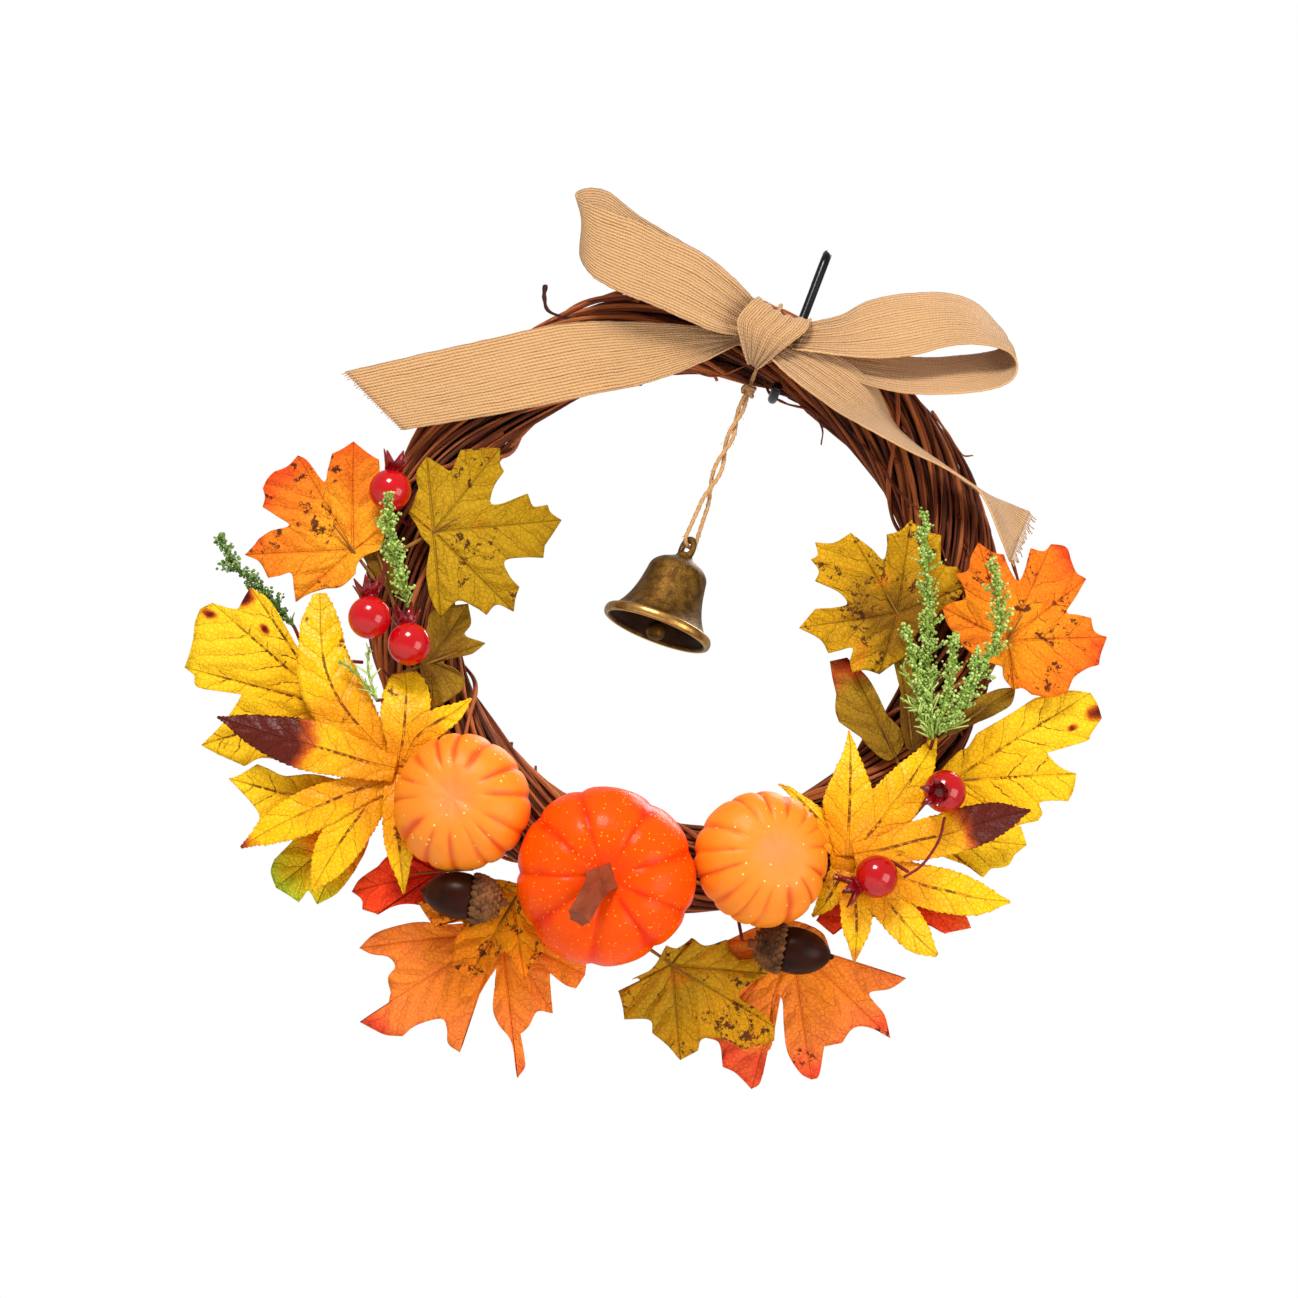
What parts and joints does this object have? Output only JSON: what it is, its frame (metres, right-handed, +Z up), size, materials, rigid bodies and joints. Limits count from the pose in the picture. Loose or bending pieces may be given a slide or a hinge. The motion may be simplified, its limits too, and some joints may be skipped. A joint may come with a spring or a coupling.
{
  "type": "harvest door wreath",
  "caption": "Vine ring on a wire hanger with a burlap bow, a bell on twine, autumn leaves, foam pumpkins, acorns and berries; hangs on a door.",
  "frame": {"origin": "the hanging point: the inside top of the hanger wire curl", "axes": "+Z up, the front faces -Y, +X to the right seen from the front"},
  "size_m": [0.2752, 0.0937, 0.2911],
  "materials": {
    "bark": "dry dark brown vine bark, matte",
    "vine": "thin dry vine, matte",
    "dark_metal": "black nickel, glossy",
    "burlap": "tan open weave burlap ribbon",
    "jute": "undyed twisted jute",
    "brass": "antique brass, darkened in the hollows",
    "pale_orange": "painted foam, satin, pale orange",
    "deep_orange": "painted foam, glossy, deep orange with gold flecks",
    "stem_brown": "painted foam, brown",
    "nut_brown": "dark brown, satin",
    "cap_brown": "rough brown scales",
    "berry_red": "glossy lacquered red",
    "wire_red": "paper-wrapped wire, dark red",
    "green": "matte light green",
    "olive": "printed polyester leaf, olive",
    "dull_olive": "printed polyester leaf, dull olive",
    "yellow": "printed polyester leaf, yellow",
    "orange": "printed polyester leaf, orange",
    "peach": "printed polyester leaf, peach",
    "red": "printed polyester leaf, red"
  },
  "bodies": {
    "hanger": {"hanger_hook": "dark_metal"},
    "wreath": {"acorn_cap_left": "cap_brown", "acorn_cap_right": "cap_brown", "acorn_nut_left": "nut_brown", "acorn_nut_right": "nut_brown", "berry_left_1": "berry_red", "berry_left_2": "berry_red", "berry_left_3": "berry_red", "berry_right_1": "berry_red", "berry_right_2": "berry_red", "berry_wire_left": "wire_red", "berry_wire_right": "wire_red", "binding_vine": "vine", "bow_knot": "burlap", "bow_loop_left": "burlap", "bow_loop_right": "burlap", "bow_tail_left": "burlap", "bow_tail_right": "burlap", "leaf_amber_left": "orange", "leaf_brown_left": "dull_olive", "leaf_finger_left": "yellow", "leaf_finger_right": "yellow", "leaf_gold_right": "yellow", "leaf_green_left": "red", "leaf_lobe_left": "yellow", "leaf_olive_bottom": "olive", "leaf_olive_left": "olive", "leaf_olive_right": "olive", "leaf_olive_strip": "dull_olive", "leaf_orange_left": "orange", "leaf_orange_right": "orange", "leaf_peach_left": "peach", "leaf_peach_right": "peach", "leaf_red_left": "red", "leaf_red_right": "red", "leaf_small_right": "dull_olive", "leaf_strip_right": "dull_olive", "leaf_tip_right": "dull_olive", "leaf_yellow_left": "yellow", "leaf_yellow_right": "yellow", "pumpkin_left": "pale_orange", "pumpkin_middle": "deep_orange", "pumpkin_right": "pale_orange", "pumpkin_stem": "stem_brown", "sprig_far_left": "green", "sprig_left": "green", "sprig_right_1": "green", "sprig_right_2": "green", "sprig_stalk_left": "green", "twine_loop": "jute", "vine_cane_1": "bark", "vine_cane_2": "bark", "vine_cane_3": "bark", "vine_cane_4": "bark", "vine_core": "bark"},
    "twine_knot": {"twine_knot": "jute"},
    "twine": {"twine": "jute"},
    "bell": {"bell": "brass", "clapper_staple": "dark_metal"},
    "clapper": {"clapper": "brass"}
  },
  "joints": [
    {"name": "wreath_tilt", "type": "hinge", "parent": "hanger", "child": "wreath", "pos_m": [0, -0.0209, -0.04107], "axis": [1, 0, 0], "range_deg": [-25, 0]},
    {"name": "twine_sway", "type": "hinge", "parent": "wreath", "child": "twine_knot", "pos_m": [-0.0082, -0.0249, -0.05449], "axis": [0, 1, 0], "range_deg": [-12, 12]},
    {"name": "twine_nod", "type": "hinge", "parent": "twine_knot", "child": "twine", "pos_m": [-0.0082, -0.0249, -0.05449], "axis": [1, 0, 0], "range_deg": [-25, 1]},
    {"name": "bell_swing", "type": "hinge", "parent": "twine", "child": "bell", "pos_m": [-0.0082, -0.0249, -0.11245], "axis": [0.7071, 0.7071, 0], "range_deg": [-15, 15]},
    {"name": "clapper_swing", "type": "hinge", "parent": "bell", "child": "clapper", "pos_m": [-0.0082, -0.0249, -0.1237], "axis": [0.7071, 0.7071, 0], "range_deg": [-30, 30]}
  ]
}
